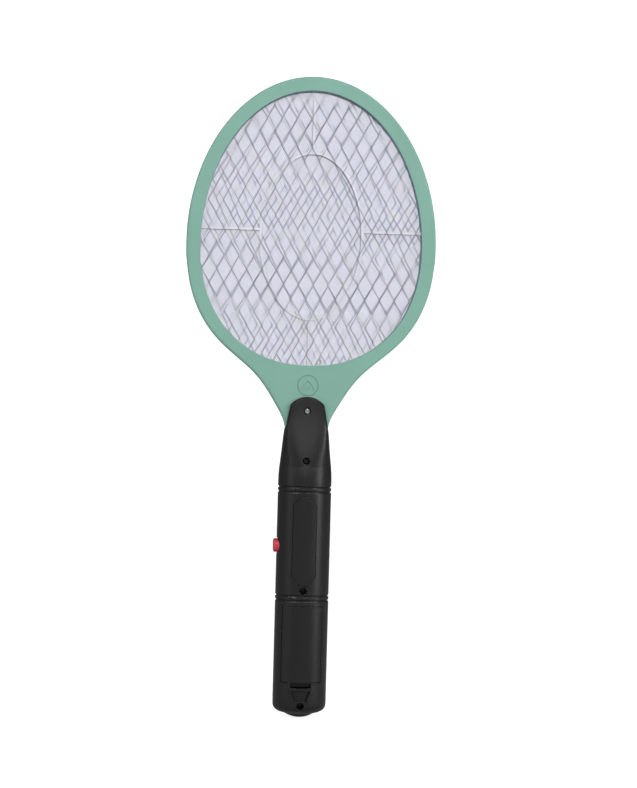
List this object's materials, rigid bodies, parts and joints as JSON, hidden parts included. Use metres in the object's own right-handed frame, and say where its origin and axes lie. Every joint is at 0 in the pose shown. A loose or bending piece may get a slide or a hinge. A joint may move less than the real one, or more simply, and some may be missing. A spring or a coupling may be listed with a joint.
{
  "type": "electric fly swatter",
  "caption": "Racket-shaped electric fly swatter with layered metal meshes in an oval frame, a battery handle, a push button and a hinged battery door.",
  "frame": {"origin": "on the axis of the handle, in the plane of the handle's end face", "axes": "+Z along the swatter from the handle end to the top of the head, +X across the head, +Y out of the front, -Y out of the back with the battery door and the screws; the push button is on the -X side"},
  "size_m": [0.1774, 0.033, 0.455],
  "materials": {
    "green_plastic": "satin green-grey moulded plastic",
    "black_plastic": "fine matt black moulded plastic",
    "red_plastic": "soft gloss red plastic",
    "white_plastic": "white moulded plastic",
    "mesh_metal": "expanded aluminium sheet",
    "steel": "zinc-plated steel",
    "black_steel": "blackened steel screw",
    "nickel": "nickel-plated spring steel",
    "cell_wrap": "plain two-tone sleeve",
    "board": "tan phenolic board",
    "ferrite": "dull dark ferrite",
    "bobbin": "dark bobbin plastic",
    "copper": "enamelled copper wire",
    "film_cap": "dipped epoxy",
    "epoxy_black": "moulded epoxy",
    "resistor": "tan lacquer with bands",
    "red_lead": "red insulation",
    "black_lead": "black insulation",
    "white_lead": "white insulation",
    "lamp": "tinted clear lamp resin"
  },
  "bodies": {
    "body": {"rear_handle_shell": "black_plastic", "front_handle_shell": "black_plastic", "switch_body": "bobbin", "circuit_board": "board", "transformer_core": "ferrite", "transformer_bobbin": "bobbin", "transformer_winding": "copper", "hv_capacitor": "film_cap", "multiplier_capacitors": "film_cap", "rectifier_diodes": "epoxy_black", "power_transistor": "epoxy_black", "resistors": "resistor", "indicator_lamp": "lamp", "bridge_contact": "nickel", "positive_contact": "nickel", "negative_contact": "nickel", "battery_cells": "cell_wrap", "battery_lead_red": "red_lead", "battery_lead_black": "black_lead", "mesh_lead": "white_lead", "hv_lead": "white_lead", "neck_screw": "steel", "collar_screw": "black_steel", "case_screws": "black_steel", "rear_frame": "green_plastic", "front_frame": "green_plastic", "rear_spacer": "white_plastic", "front_spacer": "white_plastic", "rear_mesh": "mesh_metal", "front_mesh": "mesh_metal", "centre_mesh": "mesh_metal", "mesh_eyelet": "steel", "mesh_jumper": "steel"},
    "door": {"battery_door": "black_plastic"},
    "button": {"push_button": "red_plastic"},
    "plunger": {"switch_plunger": "black_plastic"}
  },
  "joints": [
    {"name": "door_hinge", "type": "hinge", "parent": "body", "child": "door", "pos_m": [0, -0.016, 0.0796], "axis": [-1, 0, 0], "range_deg": [0, 40]},
    {"name": "button_press", "type": "slide", "parent": "body", "child": "button", "axis": [1, 0, 0], "range_m": [0, 0.0012], "stiffness_N_per_m": 900, "springref_m": -0.0006},
    {"name": "plunger_travel", "type": "slide", "parent": "body", "child": "plunger", "axis": [1, 0, 0], "range_m": [0, 0.0012]}
  ],
  "couplings": [
    {"joint": "plunger_travel", "follows": "button_press", "ratio": 1}
  ]
}
